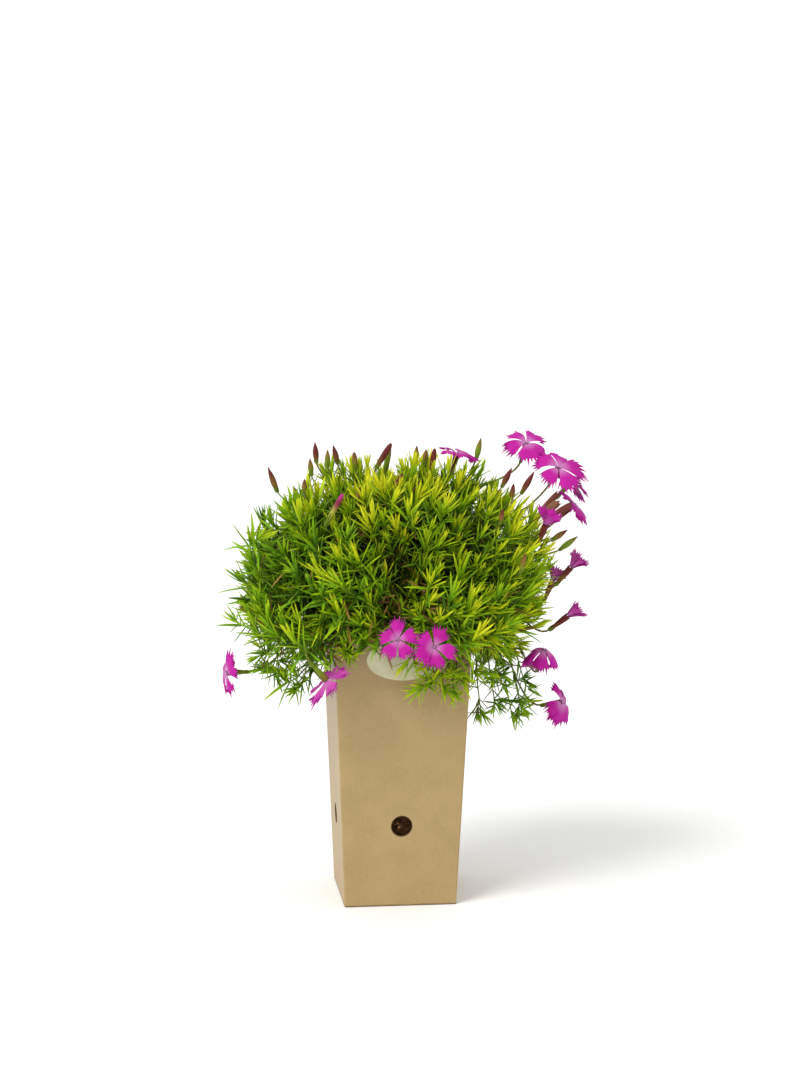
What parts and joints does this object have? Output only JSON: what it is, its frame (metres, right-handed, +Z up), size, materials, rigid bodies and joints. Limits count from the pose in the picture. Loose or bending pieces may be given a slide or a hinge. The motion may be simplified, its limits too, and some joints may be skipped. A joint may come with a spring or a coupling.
{
  "type": "potted dianthus",
  "caption": "Low cushion of needle-leaved dianthus with toothed pink-magenta blooms and buds, in a tall tapered square pot of solid board with a round hole low in each side.",
  "frame": {"origin": "middle of the pot's flat underside, which rests on the ground", "axes": "+Z up through the pot, -Y towards the label and the viewer, +X to the viewer's right"},
  "size_m": [0.2489, 0.2059, 0.3103],
  "materials": {
    "board": "matte brown solid board with fine fibre flecks, darker at its cut edges",
    "label_paper": "matte pale greenish cream paper, nothing printed on it",
    "soil": "matte, crumbly and moist, fibrous",
    "foliage": "satin needle leaves, yellow green at the tips and darker below",
    "calyx": "satin, green shading to red brown",
    "petal": "matte magenta with a pale lilac throat"
  },
  "bodies": {
    "root": {"pot": "board", "label": "label_paper", "soil": "soil", "branch_01": "foliage", "branch_02": "foliage", "branch_03": "foliage", "branch_04": "foliage", "branch_05": "foliage", "branch_06": "foliage", "branch_07": "foliage", "branch_08": "foliage", "branch_09": "foliage", "branch_10": "foliage", "branch_11": "foliage", "branch_12": "foliage", "branch_13": "foliage", "stalk_top": "calyx", "stalk_crest": "calyx", "stalk_shoulder": "calyx", "stalk_behind_shoulder": "calyx", "stalk_right_upper": "calyx", "stalk_right_half_open": "calyx", "stalk_right_shuttlecock": "calyx", "stalk_right_tight": "calyx", "stalk_right_faded": "calyx", "stalk_right_nodding": "calyx", "stalk_right_hanging": "calyx", "stalk_front_right": "calyx", "stalk_front_left": "calyx", "stalk_left_hanging": "calyx", "stalk_left_front": "calyx", "stalk_back_left": "calyx", "stalk_back_right": "calyx", "petals_top": "petal", "petals_crest": "petal", "petals_shoulder": "petal", "petals_behind_shoulder": "petal", "petals_right_upper": "petal", "petals_right_half_open": "petal", "petals_right_shuttlecock": "petal", "petals_right_tight": "petal", "petals_right_faded": "petal", "petals_right_nodding": "petal", "petals_right_hanging": "petal", "petals_front_right": "petal", "petals_front_left": "petal", "petals_left_hanging": "petal", "petals_left_front": "petal", "petals_back_left": "petal", "petals_back_right": "petal"}
  },
  "joints": []
}
